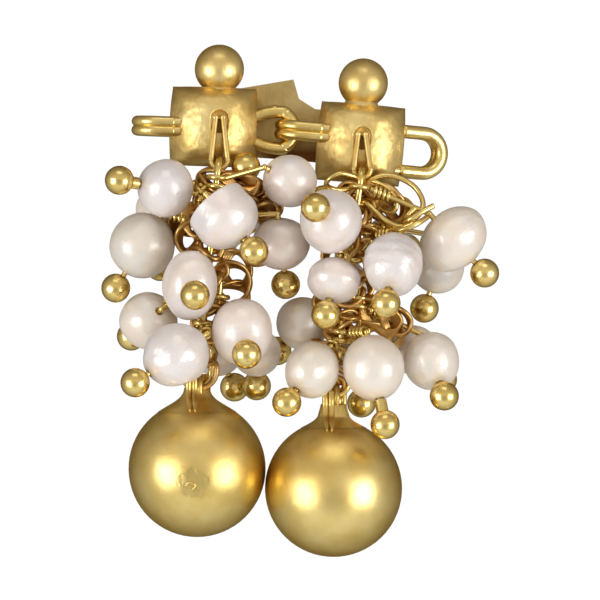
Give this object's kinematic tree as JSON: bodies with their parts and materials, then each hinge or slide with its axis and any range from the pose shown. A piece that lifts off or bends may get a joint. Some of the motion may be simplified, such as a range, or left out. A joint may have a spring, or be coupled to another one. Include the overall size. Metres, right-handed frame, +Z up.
{
  "type": "cluster earring",
  "caption": "Post earring with a pair of soldered barrels, each with a chain of clustered pearls on ball-headed pins and a large plain ball at its foot.",
  "frame": {"origin": "where the ear post leaves the back of the plate", "axes": "+X to the viewer's right, +Y along the post away from the viewer, +Z up"},
  "size_m": [0.0232, 0.0221, 0.03],
  "materials": {
    "gold": "satin",
    "pearl": "lustrous"
  },
  "bodies": {
    "root": {"back_plate": "gold", "left_barrel": "gold", "right_barrel": "gold", "left_chain": "gold", "right_chain": "gold", "left_upper_pins": "gold", "left_lower_pins": "gold", "right_upper_pins": "gold", "right_lower_pins": "gold", "pearl_01": "pearl", "pearl_02": "pearl", "pearl_03": "pearl", "pearl_04": "pearl", "pearl_05": "pearl", "pearl_06": "pearl", "pearl_07": "pearl", "pearl_08": "pearl", "pearl_09": "pearl", "pearl_10": "pearl", "pearl_11": "pearl", "pearl_12": "pearl", "pearl_13": "pearl", "pearl_14": "pearl", "pearl_15": "pearl", "pearl_16": "pearl", "pearl_17": "pearl", "pearl_18": "pearl", "pearl_19": "pearl", "pearl_20": "pearl", "pearl_21": "pearl", "pearl_22": "pearl", "pearl_23": "pearl", "pearl_24": "pearl", "pearl_25": "pearl", "pearl_26": "pearl", "pearl_27": "pearl", "pearl_28": "pearl"},
    "left_drop": {"left_drop": "gold"},
    "right_drop": {"right_drop": "gold"}
  },
  "joints": [
    {"name": "left_drop_swing", "type": "hinge", "parent": "root", "child": "left_drop", "pos_m": [-0.00521, -0.00495, -0.01592], "axis": [1, 0, 0], "range_deg": [-18, 12]},
    {"name": "right_drop_swing", "type": "hinge", "parent": "root", "child": "right_drop", "pos_m": [0.00275, -0.00495, -0.01642], "axis": [1, 0, 0], "range_deg": [-18, 12]}
  ]
}
